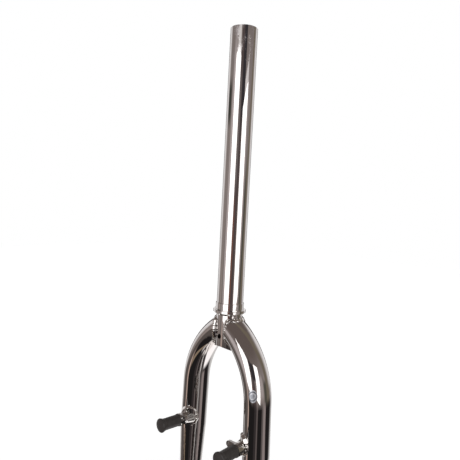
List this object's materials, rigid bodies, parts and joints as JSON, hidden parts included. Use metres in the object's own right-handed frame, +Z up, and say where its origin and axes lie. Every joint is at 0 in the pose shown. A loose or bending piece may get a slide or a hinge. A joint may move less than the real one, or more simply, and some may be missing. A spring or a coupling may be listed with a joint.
{
  "type": "bicycle fork",
  "caption": "Rigid chrome steel bicycle fork with a straight threadless steerer, legs bent out of the crown, rim brake bosses with black caps, and plate dropouts.",
  "frame": {"origin": "on the steerer's axis at the top face of the crown race flange", "axes": "+Z up along the steerer, -Y to the front, where the legs rake and the brake studs point, +X to the right as seen from the front"},
  "size_m": [0.1252, 0.071, 0.6899],
  "materials": {
    "steerer_chrome": "bright chrome plate with fine drawn lines",
    "seat_chrome": "turned and chromed",
    "leg_chrome": "dark bright chrome plate",
    "weld_chrome": "chromed weld, rippled",
    "boss_chrome": "turned and chromed",
    "plate_steel": "stamped and chromed",
    "cap_black": "matt black moulded plastic",
    "dropout_chrome": "stamped and chromed",
    "sticker_silver": "silver foil, plain"
  },
  "bodies": {
    "root": {"steerer_tube": "steerer_chrome", "crown_race_seat": "seat_chrome", "left_leg": "leg_chrome", "right_leg": "leg_chrome", "left_crown_weld": "weld_chrome", "right_crown_weld": "weld_chrome", "left_boss": "boss_chrome", "right_boss": "boss_chrome", "left_spring_plate": "plate_steel", "right_spring_plate": "plate_steel", "left_boss_weld": "weld_chrome", "right_boss_weld": "weld_chrome", "left_stud_cap": "cap_black", "right_stud_cap": "cap_black", "left_dropout": "dropout_chrome", "right_dropout": "dropout_chrome", "left_dropout_weld": "weld_chrome", "right_dropout_weld": "weld_chrome", "leg_sticker": "sticker_silver"}
  },
  "joints": []
}
